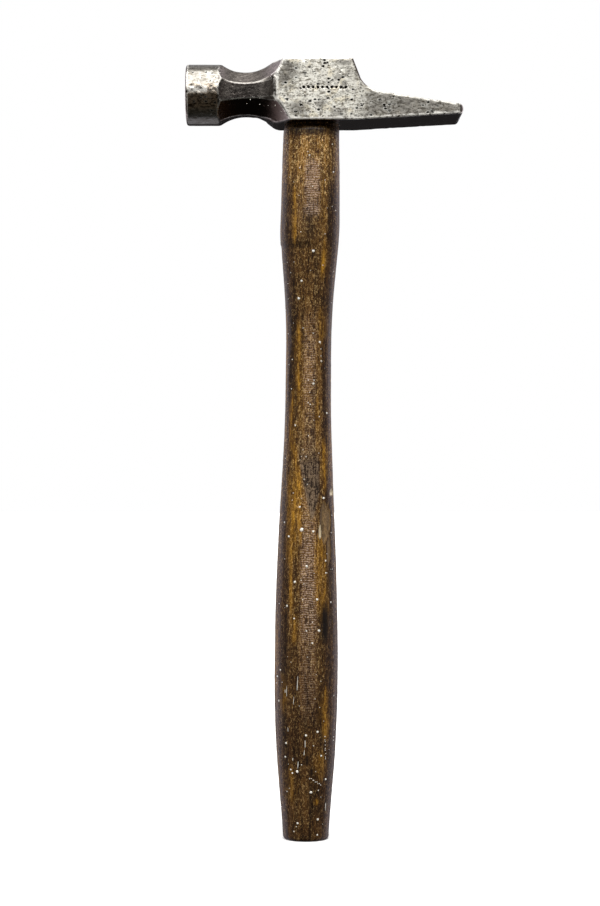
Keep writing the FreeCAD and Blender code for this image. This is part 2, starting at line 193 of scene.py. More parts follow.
# White paint: across, height and radius of the drops on the front of the handle.
FRONT_DROPS = (
    (-2.2, 129, 0.75), (6.7, 142, 0.55), (-3, 138, 0.42), (-9.3, 132, 0.36), (2.4, 128, 0.45),
    (-7.6, 126, 0.45), (7.6, 116, 0.36), (0.1, 114, 0.5), (7.9, 111, 0.38), (-4.9, 107, 0.5),
    (4.2, 100, 0.48), (10.1, 99, 0.35), (-8.2, 97, 0.48), (-5.2, 92, 0.36), (5.2, 87, 0.55),
    (-0.1, 87.4, 0.32), (2.3, 82, 0.38), (-10.6, 71, 0.38), (-12, 68, 0.4), (-11.3, 58, 0.42),
    (4.8, 46, 0.5), (0, 44, 0.45), (-8.3, 41, 0.48), (-8.5, 35, 0.42), (6.1, 36, 0.42), (-3.7, 29, 0.6),
    (-6.4, 30.3, 0.36), (-5.7, 28.6, 0.36), (8.2, 26, 0.42), (2.1, 21, 0.52), (-3.5, 8, 0.45),
    (4.9, 9, 0.5), (4.7, 3, 0.38), (-5, 4.5, 0.3), (1.6, 243, 0.6), (-3.2, 231, 0.48),
    (-4.2, 224, 0.52), (4.5, 206, 0.5), (5.2, 198, 0.42), (2, 189, 0.48), (2.4, 190.3, 0.3),
    (7.9, 177, 0.4), (-5.2, 172, 0.36), (-6.6, 199, 0.3), (9.3, 276, 0.38), (8.6, 288, 0.34),
    (-0.6, 283, 0.36),
)
# Thin pale scratches: across, height, half width, how many times longer, and lean.
SCRATCHES = (
    (-7.9, 62, 0.11, 22, 0.02), (-3.8, 65, 0.12, 36, 0.06), (-5.2, 59, 0.09, 20, 0.1),
    (-3.4, 32.2, 0.15, 11, 0.08), (-0.4, 40.5, 0.13, 13, 0), (-0.9, 37, 0.11, 12, 0.08),
    (-7.5, 46.5, 0.1, 9, 0), (-5.6, 34.5, 0.16, 4, 0), (-8.6, 62, 0.15, 5, 0), (8, 14, 0.17, 11, -0.05),
)
# Rows of tiny drops: first across and height, then the run across, the rise and how many.
DOTTED = (
    (7.8, 43.6, 0.2, -9.4, 9), (1.6, 26.7, 4.4, -2.8, 9),
)
# Random drops: how many, their heights, and the limits of small and large half widths.
RANDOM_DROPS = 210
DROP_HEIGHTS = (3, 290)
SMALL_DROP = (0.12, 0.24)
LARGE_DROP = (0.3, 0.48)
# Pale specks on the near side of the neck: across and up from the middle of the eye, and radius.
NECK_DROPS = (
    (-25.6, -6.6, 0.3), (-22.9, -9.2, 0.32), (-19.6, -8.8, 0.26), (-16.1, -7.5, 0.36),
    (-13.5, -9.6, 0.28), (-22, -5.2, 0.18), (-26.5, -9, 0.18),
)
RANDOM_HEAD_DROPS = 26
HEAD_DROP = (0.1, 0.2)
# Section of a drop: how wide and how high its rings are, as parts of its half width and height.
DROP_RINGS = ((1, -0.25), (0.93, 0.25), (0.72, 0.72), (0.38, 0.95))
DROP_SIDES = 10
DROP_RISE = 0.45
DROP_RISE_LIMIT = 0.18

# Thickness of the wedges at the top and at the point.
WEDGE_HEAD = 3.4
WEDGE_POINT = 1.0
IRON_HEAD = 2.2
IRON_POINT = 0.5
WEDGE_VOXEL = 0.3
WEDGE_MARGIN = 0.8
IRON_VOXEL = 0.22
IRON_MARGIN = 0.9
IRON_BURR = 0.3
IRON_PROUD = 0.22

CAMERA_DISTANCE = 733 * MM
CAMERA_HEIGHT = 160.3 * MM
CAMERA_SIDE = -2.45 * MM
LENS_MM = 70.0
SENSOR_MM = 36.0
FLOOR_HALF = 4.0

# Light by direction: degrees up from the camera's side, over the top (90) to behind (180).
LIGHT_STRENGTH = 3.0
DIFFUSE_GAIN = 2.8
DIFFUSE_ASIDE = 0.03
WORLD_BANDS = (
    (-180, (0.012, 0.011, 0.011)), (-158, (0.012, 0.011, 0.011)), (-146, (0.085, 0.083, 0.09)),
    (-112, (0.085, 0.083, 0.09)), (-100, (0.007, 0.007, 0.006)), (-60, (0.013, 0.012, 0.01)),
    (18, (0.014, 0.0135, 0.013)), (30, (1, 0.99, 0.97)), (90, (1, 0.99, 0.97)),
    (103, (0.17, 0.165, 0.16)), (180, (0.14, 0.14, 0.15)),
)
BESIDE_COLOUR = (0.05, 0.048, 0.045)
WALL_COLOUR = (0.48, 0.435, 0.47)


# ---- fields and meshes ----


def noise(points, cell, seed):
    """Smooth random values from -1 to 1 that change over about one cell, a size or three sizes."""
    table = np.random.default_rng(seed).uniform(-1, 1, (LATTICE,) * 3)
    place = points / np.asarray(cell, float)
    base = np.floor(place).astype(int)
    part = place - base
    part = part * part * (3 - 2 * part)
    total = np.zeros(len(points))
    for corner in itertools.product((0, 1), repeat=3):
        weight = np.prod(np.where(corner, part, 1 - part), axis=1)
        index = (base + corner) % LATTICE
        total += weight * table[index[:, 0], index[:, 1], index[:, 2]]
    return total


def layered_noise(points, rows):
    """Sum of random waves, each with its height, size and seed."""
    return sum(height * noise(points, size, seed) for height, size, seed in rows)


def smooth(low, high, value):
    """0 below low and 1 above high, with a soft passage between them."""
    part = np.clip((value - low) / (high - low), 0, 1)
    return part * part * (3 - 2 * part)


def at_height(z, rows):
    """Values between those of a table of heights and values."""
    return np.interp(z, *zip(*rows))


def rounded_max(a, b, radius):
    """Intersection of two distance fields, with the edge between them rounded."""
    corner = np.hypot(np.maximum(a + radius, 0), np.maximum(b + radius, 0))
    return np.minimum(np.maximum(a, b), -radius) + corner


def rounded_min(a, b, radius):
    """Union of two distance fields, with the corner between them filled."""
    return -rounded_max(-a, -b, radius)


def beyond_line(x, z, start, end):
    """Distance to the left of the line from start to end, which is positive outside the metal."""
    along = np.subtract(end, start)
    along = along / np.hypot(*along)
    return (z - start[1]) * along[0] - (x - start[0]) * along[1]


def slab_distance(value, middle, half):
    return np.abs(value - middle) - half


def oval_distance(x, y, length, width):
    """Roughly the distance outside a level ellipse."""
    half_length = length / 2
    half_width = width / 2
    level = np.hypot(x / half_length, y / half_width) + 1e-9
    slope = np.hypot(x / half_length**2, y / half_width**2) + 1e-9
    return level * (level - 1) / slope


def eye_size(z):
    """Length and width of the eye at a height from its middle."""
    heights = (-HALF_SIDE, 0, HALF_SIDE)
    return [np.interp(z, heights, sizes) for sizes in zip(EYE_MOUTH, EYE_THROAT, EYE_CROWN)]


def gradient(field, points, step):
    slope = np.empty_like(points)
    for axis, offset in enumerate(np.eye(3) * step):
        slope[:, axis] = (field(points + offset) - field(points - offset)) / (2 * step)
    return slope


def mesh_field(field, low, high, voxel):
    """Turns a distance field into points and quads, and moves the points onto its surface."""
    axes = [np.arange(a, b + voxel, voxel) for a, b in zip(low, high)]
    shape = [len(axis) for axis in axes]
    points = np.stack(np.meshgrid(*axes, indexing="ij"), axis=-1).reshape(-1, 3)
    values = field(points).reshape(shape).astype(np.float32)
    grid = openvdb.FloatGrid(float(values.max()))
    grid.copyFromArray(values)
    grid.transform = openvdb.createLinearTransform(voxel)
    points, quads = grid.convertToQuads()
    points = points.astype(float) + np.array([axis[0] for axis in axes])
    for _ in range(2):
        slope = gradient(field, points, voxel / 4)
        steepness = np.maximum(np.sum(slope**2, axis=1), 0.25)
        step = np.clip(field(points) / steepness, -voxel / 2, voxel / 2)
        points -= slope * step[:, None]
    return points, quads


def unit(vectors):
    return vectors / np.maximum(np.linalg.norm(vectors, axis=1), 1e-9)[:, None]


def add_object(name, data):
    thing = bpy.data.objects.new(name, data)
    bpy.context.scene.collection.objects.link(thing)
    return thing


def add_mesh(name, points, faces, material):
    """Adds an object from points in millimetres, in the row frame, and faces."""
    mesh = bpy.data.meshes.new(name)
    mesh.from_pydata((points * MM).tolist(), [], [list(map(int, face)) for face in faces])
    mesh.validate()
    mesh.shade_smooth()
    mesh.materials.append(material)
    return add_object(name, mesh)


def read_vertices(piece, name):
    flat = np.empty(len(piece.data.vertices) * 3, np.float32)
    piece.data.vertices.foreach_get(name, flat)
    return flat.reshape(-1, 3)


def get_points(piece):
    return read_vertices(piece, "co").astype(float) / MM


def set_points(piece, points):
    piece.data.vertices.foreach_set("co", (points * MM).astype(np.float32).ravel())
    piece.data.update()


def set_attributes(piece, layers):
    for name, values in layers.items():
        layer = piece.data.attributes.new(name, "FLOAT", "POINT")
        layer.data.foreach_set("value", np.asarray(values, np.float32))


def tree_of(points):
    tree = KDTree(len(points))
    for index, point in enumerate(points):
        tree.insert(point, index)
    tree.balance()
    return tree


def near_points(points, centres, radii):
    """Yields, for each centre, the points within its radius as indices and distances."""
    tree = tree_of(points)
    for centre, radius in zip(centres, radii):
        found = tree.find_range(centre, radius)
        yield np.array([item[1] for item in found], int), np.array([item[2] for item in found])


def press_bowls(points, raised, rng, choices, weights, marks):
    """Presses random bowls into the heights in raised, and returns how far each point sank."""
    count, radius_limits, depth_limits = marks
    chosen = rng.choice(choices, count, p=weights)
    radii = rng.uniform(*radius_limits, count)
    depths = rng.uniform(*depth_limits, count)
    sunk = np.zeros(len(points))
    for (indices, distances), radius, depth in zip(near_points(points, points[chosen], radii), radii, depths):
        bowl = depth * (1 - (distances / radius) ** 2) ** 2
        raised[indices] -= bowl
        sunk[indices] = np.maximum(sunk[indices], bowl)
    return sunk


def ring_faces(lower, upper):
    """Faces from one ring of point numbers to the next ring, which may be a single point."""
    faces = []
    for here in range(len(lower)):
        after = (here + 1) % len(lower)
        far = (upper[after], upper[here]) if len(upper) > 1 else tuple(upper)
        faces.append((lower[here], lower[after], *far))
    return faces


# ---- head ----


def upper_field(x, z):
    """Distance to the top of the head, its shoulder and the top of the pein, seen from the side."""
    block = rounded_max(z - HALF_SIDE, beyond_line(x, z, SHOULDER_TOP, SHOULDER_FOOT), SHOULDER_EDGE)
    pein_top = beyond_line(x, z, SHOULDER_FOOT, PEIN_TOP)
    return rounded_min(block, pein_top, SHOULDER_BLEND)


def lower_field(x, z):
    """Distance to the underside of the head, seen from the side."""
    return np.maximum(-HALF_SIDE - z, -beyond_line(x, z, UNDERSIDE_BEND, PEIN_UNDERSIDE))


def scoop_field(points, row):
    """Distance to one of the round scoops that form the neck."""
    x, y, z = points.T
    roll, radius, deepest = row
    turn = math.radians(roll)
    outward = y * math.sin(turn) + z * math.cos(turn)
    depth = HALF_SIDE - deepest
    middle = NECK_START + math.sqrt(2 * radius * depth - depth**2)
    scoop = radius - np.hypot(x - middle, outward - deepest - radius)
    if roll in SHOULDERS:
        shoulder_x, shoulder_out, shoulder_radius = SHOULDERS[roll]
        shoulder = np.hypot(x - shoulder_x, outward - shoulder_out) - shoulder_radius
        scoop = rounded_min(scoop, shoulder, SHOULDER_FILLET)
    return scoop


def head_field(points):
    """Distance to the forged head, in millimetres about the middle of its eye."""
    x, y, z = points.T
    tip = x - PEIN_REACH
    outline = rounded_max(np.maximum(upper_field(x, z), lower_field(x, z)), tip, PEIN_NOSE)
    side = np.abs(y) - HALF_SIDE
    solid = rounded_max(outline, side, CHEEK_EDGE[0] + CHEEK_EDGE[1] * noise(points, 3.5, 4))
    solid = np.maximum(solid, rounded_max(tip, side, PEIN_CORNER))
    radial = np.hypot(y, z + BELL_DROP) - BELL_RADIUS
    solid = rounded_max(solid, np.minimum(radial, TURNED_TO - x), BELL_EDGE)
    face = -FACE_REACH - x
    solid = rounded_max(solid, face, BELL_EDGE)
    solid = rounded_max(solid, (radial + face + BELL_RIM) / math.sqrt(2), RIM_EDGE)
    for row in SCOOPS:
        soft = 0.16 + 0.6 * smooth(-23, -17, x)
        solid = rounded_max(solid, scoop_field(points, row), soft)
    return rounded_max(solid, -oval_distance(x, y, *eye_size(z)), EYE_EDGE)


def head_normals(points):
    return unit(gradient(head_field, points, 0.1))


def head_finish(points):
    """How much of each kind of surface the head has at its points."""
    x, y, z = points.T
    normals = head_normals(points)
    down = -normals[:, 2]

    # Ground or turned bright, and black from the fire. The black on faces that look down and on the lower
    # facets of the neck is partly painted shade, and the rim of the face is darkened as a painted dark
    # reflection.
    cheek = smooth(HALF_SIDE - 0.3, HALF_SIDE - 0.12, np.abs(y)) * (x > BLOCK_START)
    bell = smooth(NECK_START + 0.5, NECK_START, x + 0.3 * noise(points, 2.5, 5))
    top = smooth(HALF_SIDE - 0.4, HALF_SIDE - 0.15, z) * (x > BLOCK_START)
    slope = smooth(0.7, 0.95, -down) * (x > 22)
    neck = smooth(-6, -8, x) * (1 - bell)
    soot_and_shade = smooth(0.6, 0.9, down) * (1 - bell)
    soot_and_shade = np.maximum(soot_and_shade, smooth(0.3, 0.6, down) * neck)
    shoulder = smooth(-0.95, -0.6, upper_field(x, z)) * (x > 15) * smooth(25, 22, x)
    shoulder *= smooth(HALF_SIDE, HALF_SIDE - 0.6, z)
    on_rim = (np.abs(normals[:, 0]) < 0.9) * (x < 1.5 - FACE_REACH)
    rim_shade = smooth(0.15, 0.4, -normals[:, 0]) * on_rim
    soot_and_shade = np.maximum.reduce([soot_and_shade, shoulder, 0.85 * rim_shade])

    # Pale where edges are worn, partly real wear and partly painted highlight: by how sharp they are, and
    # along a ragged border of the cheeks.
    step = 0.35
    sharpness = -6 * head_field(points)
    for offset in np.eye(3) * step:
        sharpness += head_field(points + offset) + head_field(points - offset)
    wear_and_highlight = smooth(0.3, 1.0, sharpness / step**2)
    left = np.maximum.reduce([scoop_field(points, row) for row in SCOOPS])
    reach = np.maximum.reduce([upper_field(x, z), lower_field(x, z), x - PEIN_REACH])
    reach = reach + layered_noise(points, BORDER_WANDER)
    border_wear_and_highlight = smooth(-1.2, -0.6, np.maximum(reach, left - 0.35))
    lip = smooth(-1.0, -0.6, lower_field(x, z) + 0.5 * noise(points, 1.3, 9))
    border_wear_and_highlight = np.maximum(border_wear_and_highlight, lip) * cheek * (1 - shoulder)
    on_neck = (x > NECK_START + 1) & (np.hypot(y, z) < HALF_SIDE - 0.5)
    wear_and_highlight *= np.where(on_neck, np.where(z > 0, 0.25, 0.45), 1)
    wear_and_highlight *= np.where((z < -11) & (x < -5) & (np.abs(y) < HALF_SIDE - 0.6), 0.15, 1)
    wear_and_highlight = np.maximum(wear_and_highlight, border_wear_and_highlight) * (1 - shoulder) * (1 - rim_shade)
    wear_and_highlight *= (1 - 0.5 * smooth(22, 26, x) * smooth(-8.5, -7.5, z))
    wear_and_highlight *= np.where(np.abs(x - NECK_START) < 4, 0.4, 1)

    # Dull towards the pein, at the top of the bell and in patches on the cheeks; a band lower on the bell is
    # darkened as a painted dark reflection.
    turned = bell * (normals[:, 0] > -0.6)
    dull = 0.5 * smooth(1, 3, z) + 0.5 * smooth(6.6, 8.8, z)
    dull = 0.9 * smooth(13, 32, x) + turned * dull
    for side, middle_x, middle_z, half_x, half_z, strength in DULL_SPOTS:
        away = np.hypot((x - middle_x) / half_x, (z - middle_z) / half_z)
        dull = dull + strength * smooth(1.25, 0.3, away) * (y * side > 0)
    painted_dark_band = smooth(-10, -6, z) * smooth(3.5, -0.5, z + 0.8 * noise(points, 3, 8))
    return {
        "bright": np.maximum.reduce([cheek, bell, 0.5 * top, 0.7 * slope]),
        "wear_and_highlight": wear_and_highlight,
        "bell": bell,
        "cheek": cheek,
        "soot_and_shade": soot_and_shade,
        "painted_dark_band": turned * painted_dark_band,
        "dull": np.clip(dull, 0, 1),
    }


def refine(piece, low, high):
    """Cuts each face whose corners lie in a box, in millimetres in the row frame, into nine."""
    mesh = bmesh.new()
    mesh.from_mesh(piece.data)
    low = np.array(low) * MM
    high = np.array(high) * MM
    inside = {v for v in mesh.verts if all(a < c < b for a, c, b in zip(low, v.co, high))}
    edges = [edge for edge in mesh.edges if edge.verts[0] in inside and edge.verts[1] in inside]
    bmesh.ops.subdivide_edges(mesh, edges=edges, cuts=2, use_grid_fill=True)
    mesh.to_mesh(piece.data)
    mesh.free()


def build_head(material):
    low = np.array((-FACE_REACH, -HALF_SIDE, -HALF_SIDE)) - HEAD_MARGIN
    high = np.array((PEIN_REACH, HALF_SIDE, HALF_SIDE)) + HEAD_MARGIN
    points, quads = mesh_field(head_field, low, high, HEAD_VOXEL)
    eye_middle = np.array((EYE_X, 0, EYE_Z))
    piece = add_mesh("forged_head", points + eye_middle, quads, material)
    first_dot, last_dot, dot_z, dot_radius = DOTS
    low = eye_middle + (first_dot - 1, -HALF_SIDE - 1, dot_z - 1)
    high = eye_middle + (last_dot + 1, -HALF_SIDE + 1, dot_z + 1)
    refine(piece, low, high)

    points = get_points(piece) - eye_middle
    finish = head_finish(points)
    normals = head_normals(points)
    raised = layered_noise(points, HEAD_RELIEF)
    rng = np.random.default_rng(11)
    in_eye = oval_distance(points[:, 0], points[:, 1], *eye_size(points[:, 2])) < 0.3
    weights = np.where(in_eye, 0, 0.1 + finish.pop("cheek") + 0.6 * finish["bell"])
    pits = press_bowls(points, raised, rng, len(points), weights / weights.sum(), PITS)
    pits /= max(PITS[-1])
    smooth_edge = (points[:, 2] < -8) | (points[:, 0] > 22)
    weights = np.where(in_eye, 0, finish["wear_and_highlight"] * np.where(smooth_edge, 0.3, 1))
    press_bowls(points, raised, rng, len(points), weights / weights.sum(), DINGS)
    dots = [(x, -HALF_SIDE, dot_z) for x in np.linspace(first_dot, last_dot, DOT_COUNT)]
    for indices, distances in near_points(points, dots, [dot_radius * 1.3] * DOT_COUNT):
        shape = smooth(dot_radius * 1.15, dot_radius * 0.7, distances)
        raised[indices] -= DOT_DEPTH * shape
        pits[indices] = np.maximum(pits[indices], 1.5 * shape)
    set_points(piece, points + normals * raised[:, None] + eye_middle)
    set_attributes(piece, {**finish, "pit": pits})
    return piece


# ---- handle ----


def spline_slopes(heights, values):
    """Slopes of the natural cubic spline through the values."""
    gaps = np.diff(heights)
    rises = np.diff(values) / gaps
    before, after = gaps[:-1], gaps[1:]
    matrix = np.diag([2, *2 * (before + after), 2]) + np.diag([*after, 1], -1) + np.diag([1, *before], 1)
    right = [rises[0], *(after * rises[:-1] + before * rises[1:]), rises[-1]]
    return np.linalg.solve(matrix, 3 * np.array(right))


HEIGHTS, WIDTHS = np.array(STATIONS).T
SLOPES = spline_slopes(HEIGHTS, WIDTHS)


def handle_width(z):
    """Width of the handle along X below the head."""
    z = np.clip(z, HEIGHTS[0], HEIGHTS[-1])
    index = np.clip(np.searchsorted(HEIGHTS, z) - 1, 0, len(STATIONS) - 2)
    gap = HEIGHTS[index + 1] - HEIGHTS[index]
    part = (z - HEIGHTS[index]) / gap
    start, end = WIDTHS[index], WIDTHS[index + 1]
    rise_after = SLOPES[index] * gap - (end - start)
    rise_before = (end - start) - SLOPES[index + 1] * gap
    bend = rise_after * (1 - part) + rise_before * part
    return start * (1 - part) + end * part + part * (1 - part) * bend


def handle_half_sizes(z):
    """Half the width and half the depth of the handle at each height, with its butt and its tenon."""
    half_width = handle_width(z) / 2
    inward = 1 - np.clip(z / BUTT_ROUND, 0, 1)
    butt_round = BUTT_ROUND * (1 - np.sqrt(1 - inward**2))
    end_round = 0.3 * smooth(TENON_TOP - 0.5, TENON_TOP, z)
    into_eye = smooth(SEAT_Z - SEAT_GAP, SEAT_Z, z)
    halves = []
    for half, eye in zip((half_width, half_width * FLATNESS), eye_size(z - EYE_Z)):
        half = half - butt_round
        half = half + (eye / 2 - TENON_GAP - half) * into_eye
        halves.append(half - end_round)
    return halves


def bow(z):
    """How far the middle of the handle is from X = 0."""
    return EYE_X * np.minimum(z / SEAT_Z, 1) ** 2


def handle_rings():
    """Heights of the rings, from the butt's edge to the tenon's."""
    butt = BUTT_ROUND * (1 - np.cos(np.linspace(0, math.pi / 2, 6)))
    grip = np.linspace(BUTT_ROUND, SEAT_Z - SEAT_GAP, GRIP_RINGS)[1:]
    tenon = np.linspace(SEAT_Z - SEAT_GAP, TENON_TOP - 0.5, 24)[1:]
    return np.concatenate([butt, grip, tenon, [TENON_TOP - 0.25, TENON_TOP]])


def handle_surface(z, angle):
    """Points of the undented handle. angle is from the front, -Y, towards +X."""
    half_width, half_depth = handle_half_sizes(z)
    return np.stack([bow(z) + half_width * np.sin(angle), -half_depth * np.cos(angle), z], axis=-1)


def build_handle(material):
    heights = handle_rings()
    angles = np.linspace(0, 2 * math.pi, AROUND, endpoint=False)
    grid_z, grid_angle = np.meshgrid(heights, angles, indexing="ij")
    points = handle_surface(grid_z.ravel(), grid_angle.ravel())
    rings = [range(row * AROUND, (row + 1) * AROUND) for row in range(len(heights))]
    faces = []
    for lower, upper in zip(rings, rings[1:]):
        faces += ring_faces(lower, upper)
    for height, ring, turned in ((heights[0], rings[0], True), (heights[-1], rings[-1], False)):
        edge = points[ring]
        middle = np.array([[bow(height), 0, height]])
        for scale in np.linspace(1, 0, CAP_RINGS + 1)[1:]:
            inner = middle + (edge - middle) * scale if scale > 0 else middle
            inner_ring = range(len(points), len(points) + len(inner))
            cap = ring_faces(ring, inner_ring)
            faces += [face[::-1] for face in cap] if turned else cap
            points = np.vstack([points, inner])
            ring = inner_ring
    piece = add_mesh("handle_stick", points, faces, material)
    slot_handle(piece)
    finish_handle(piece)
    return piece


def cut_away(piece, corners):
    """Cuts a block with eight corners, in millimetres, out of a piece."""
    faces = [(0, 1, 2, 3), (7, 6, 5, 4), (0, 4, 5, 1), (1, 5, 6, 2), (2, 6, 7, 3), (3, 7, 4, 0)]
    mesh = bpy.data.meshes.new("cutter")
    mesh.from_pydata((np.array(corners) * MM).tolist(), [], faces)
    solid = bmesh.new()
    solid.from_mesh(mesh)
    bmesh.ops.recalc_face_normals(solid, faces=solid.faces)
    solid.to_mesh(mesh)
    solid.free()
    cutter = add_object("cutter", mesh)
    cut = piece.modifiers.new("slot", "BOOLEAN")
    cut.operation = "DIFFERENCE"
    cut.solver = "EXACT"
    cut.object = cutter
    evaluated = piece.evaluated_get(bpy.context.evaluated_depsgraph_get())
    result = bpy.data.meshes.new_from_object(evaluated)
    piece.modifiers.clear()
    piece.data = result
    bpy.data.objects.remove(cutter)
    bpy.data.meshes.remove(mesh)


def slot_handle(handle):
    """Cuts the room for the wedges into the top of the handle."""
    head_half = WEDGE_HEAD / 2 + TENON_GAP
    point_half = WEDGE_POINT / 2 + TENON_GAP
    grow = 2 * (head_half - point_half) / (WEDGE_HIGH[2] - WEDGE_LOW[2])
    top = TENON_TOP + 2
    bottom = WEDGE_LOW[2] - 1
    outline = ((-head_half - grow, top), (-point_half, bottom), (point_half, bottom), (head_half + grow, top))
    reach = HALF_SIDE + 2
    cut_away(handle, [(EYE_X + side * reach, y, z) for side in (-1, 1) for y, z in outline])
    for low, high in map(box_mm, IRON_WEDGES):
        middle_x = (low + high)[0] / 2
        half = IRON_HEAD / 2 + 0.1
        width = (high - low)[1] / 2 + 0.1
        bottom = low[2] - 0.3
        outline = ((-half, top), (-half + 0.8, bottom), (half - 0.8, bottom), (half, top))
        cut_away(handle, [(middle_x + x, side * width, z) for side in (1, -1) for x, z in outline])


def streak(z, across, row):
    """How much a mark at (height, across, half length, half width) covers the points."""
    height, middle, half_length, half_width = row
    along = np.clip(np.abs(z - height) / (1.2 * half_length), 0, 1)
    width = half_width * np.sqrt(1 - along**2) + 0.05
    return (1 - along**4) * np.exp(-(((across - middle) / width) ** 2))


def finish_handle(piece):
    """Dents the handle and says how each part of it is coloured."""
    points = get_points(piece)
    z = points[:, 2]
    half_width, half_depth = handle_half_sizes(z)
    aside = points[:, 0] - bow(z)
    angle = np.arctan2(aside / half_width, -points[:, 1] / half_depth)
    normals = unit(np.stack([aside / half_width**2, points[:, 1] / half_depth**2, np.zeros(len(z))], axis=-1))
    across = half_width * np.sin(angle)
    front = points[:, 1] < 0
    around = np.stack([np.cos(angle) * MEAN_RADIUS, np.sin(angle) * MEAN_RADIUS, z], axis=-1)
    grip = smooth(0, 3, z) * smooth(SEAT_Z - 1, SEAT_Z - 6, z)

    raised = layered_noise(around, HANDLE_RELIEF)
    rng = np.random.default_rng(31)
    press_bowls(points, raised, rng, np.flatnonzero(grip > 0.9), None, DENTS)
    step_foot, step_top, fade_start, fade_end = LEDGE
    ledge = smooth(step_foot, step_top, z) * smooth(fade_end, fade_start, z)
    raised += LEDGE_HEIGHT * ledge * smooth(5, 0, across) * front

    wander = layered_noise(around, STREAK_WANDER)

    def marks_behind(cover, table):
        """Adds random streaks on the sides and the back to a cover."""
        count, margin, lengths, widths, strengths = table
        for _ in range(count):
            height, turn = rng.uniform(*BACK_HEIGHTS), rng.uniform(margin, 2 * math.pi - margin)
            row = (height, 0, rng.uniform(*lengths), rng.uniform(*widths))
            apart = (angle - turn + math.pi) % (2 * math.pi) - math.pi
            mark = streak(z, apart * half_width + wander, row)
            cover = np.maximum(cover, rng.uniform(*strengths) * mark)
        return cover

    gold = np.zeros(len(z))
    for height, top, bottom, half_length, width, strength in STREAKS:
        middle = top + (bottom - top) * np.clip((height + half_length - z) / (2 * half_length), 0, 1)
        mark = streak(z, across + wander - middle, (height, 0, half_length, width))
        gold = np.maximum(gold, strength * mark * front)
    gold = marks_behind(gold, BACK_STREAKS)
    gold *= 0.72 + 0.5 * noise(around, (0.8, 0.8, 7), 29)
    # Dark stains, one of them a painted shadow of the head across the top of the handle.
    stain_and_shade = np.zeros(len(z))
    for *row, strength in STAINS_AND_SHADOW:
        stain_and_shade = np.maximum(stain_and_shade, strength * streak(z, across + wander * 0.5, row) * front)
    stain_and_shade = marks_behind(stain_and_shade, BACK_STAINS)
    bare = np.zeros(len(z))
    ragged = 0.22 * noise(around, (0.8, 0.8, 2.5), 26)
    for height, middle, half_length, width, depth, pale in BARE:
        reach = np.hypot((across - middle) / width, (z - height) / half_length) + ragged
        raised -= depth * smooth(1.1, 0.6, reach) * front
        bare = np.maximum(bare, pale * smooth(1.05, 0.85, reach) * front)

    vee = np.abs(across - at_height(z, VEE_MIDDLE)) - at_height(z, VEE_REACH) + 0.5 * wander
    vee = smooth(0.3, -0.9, vee) * smooth(180, 165, z) * front
    vee *= 0.25 + 0.75 * smooth(164, 154, z)
    middle_band = smooth(0.34, 0.12, np.abs((across + 0.6 * wander) / half_width - 0.05)) * front
    # Painted shade: the tone is darkened in a band just inside each side of the handle, less near the top, so
    # the tone attribute carries it too.
    corner = np.abs(np.sin(angle)) + 0.05 * noise(around, (3, 3, 30), 30)
    painted_side_shade = smooth(0.52, 0.68, corner) * smooth(0.98, 0.86, corner)
    tone = at_height(z, TONES) + 0.18 * noise(around, (6, 6, 18), 27)
    tone = tone - (0.45 - 0.3 * smooth(268, 280, z)) * painted_side_shade
    set_points(piece, points + normals * (raised * grip)[:, None])
    layers = {
        "gold": np.clip(gold, 0, 1),
        "stain_and_shade": stain_and_shade,
        "bare": bare,
        "vee": vee,
        "rubbed_and_sheen": at_height(z, POLISH_AND_SHEEN) * middle_band * (1 - vee),
        "tone": np.clip(tone, 0, 1),
        "end": (z < 0.01) | (z > TENON_TOP - 0.3),
    }
    set_attributes(piece, layers)


# ---- wedges and paint ----


def wedge_field(points):
    """Distance to the wooden wedge, in the row frame."""
    x, y, z = points.T
    depth = (TENON_TOP - z) / (WEDGE_HIGH[2] - WEDGE_LOW[2])
    half = WEDGE_HEAD / 2 + (WEDGE_POINT - WEDGE_HEAD) / 2 * depth
    in_eye = oval_distance(x - EYE_X, y, *eye_size(z - EYE_Z)) + 0.1
    solid = rounded_max(np.abs(y) - half, in_eye, 0.15)
    crushed = TENON_TOP + 0.1 * noise(points, 1.6, 41) + 0.06
    solid = rounded_max(solid, z - crushed, 0.2)
    solid = np.maximum(solid, WEDGE_LOW[2] - z)
    for low, high in map(box_mm, IRON_WEDGES):
        middle = (low + high) / 2
        slot = np.maximum(slab_distance(x, middle[0], (high - low)[0] / 2 + 0.05), low[2] - z)
        slot = np.maximum(slot, slab_distance(y, middle[1], (high - low)[1] / 2 + 0.05))
        solid = rounded_max(solid, -slot, 0.1)
    return solid


def iron_field(points, low, high):
    """Distance to an iron wedge whose box is given, in the row frame."""
    x, y, z = points.T
    middle = (low + high) / 2
    depth = (high[2] - z) / (high[2] - low[2])
    burr = smooth(0.08, 0.0, depth)
    half = IRON_HEAD / 2 + (IRON_POINT - IRON_HEAD) / 2 * depth
    half = half + IRON_BURR * burr * (1 + 0.6 * noise(points, 1.2, 42))
    side = slab_distance(y, middle[1], (high - low)[1] / 2 + 0.2 * burr)
    solid = rounded_max(np.abs(x - middle[0]) - half, side, 0.25)
    top = high[2] + IRON_PROUD + 0.12 * noise(points, 1.3, 43)
    return np.maximum(rounded_max(solid, z - top, 0.3), low[2] - z)


def build_wedges(wood, iron):
    points, quads = mesh_field(wedge_field, WEDGE_LOW - WEDGE_MARGIN, WEDGE_HIGH + WEDGE_MARGIN, WEDGE_VOXEL)
    pieces = [add_mesh("wooden_wedge_driven", points, quads, wood)]
    set_attributes(pieces[0], {"end": points[:, 2] > TENON_TOP - 0.4})
    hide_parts("wooden_wedge")
    for node in IRON_WEDGES:
        low, high = box_mm(node)
        limits = (low - IRON_MARGIN, high + IRON_MARGIN)
        points, quads = mesh_field(lambda at: iron_field(at, low, high), *limits, IRON_VOXEL)
        piece = add_mesh(f"{node}_driven", points, quads, iron)
        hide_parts(node)
        pieces.append(piece)
    return pieces


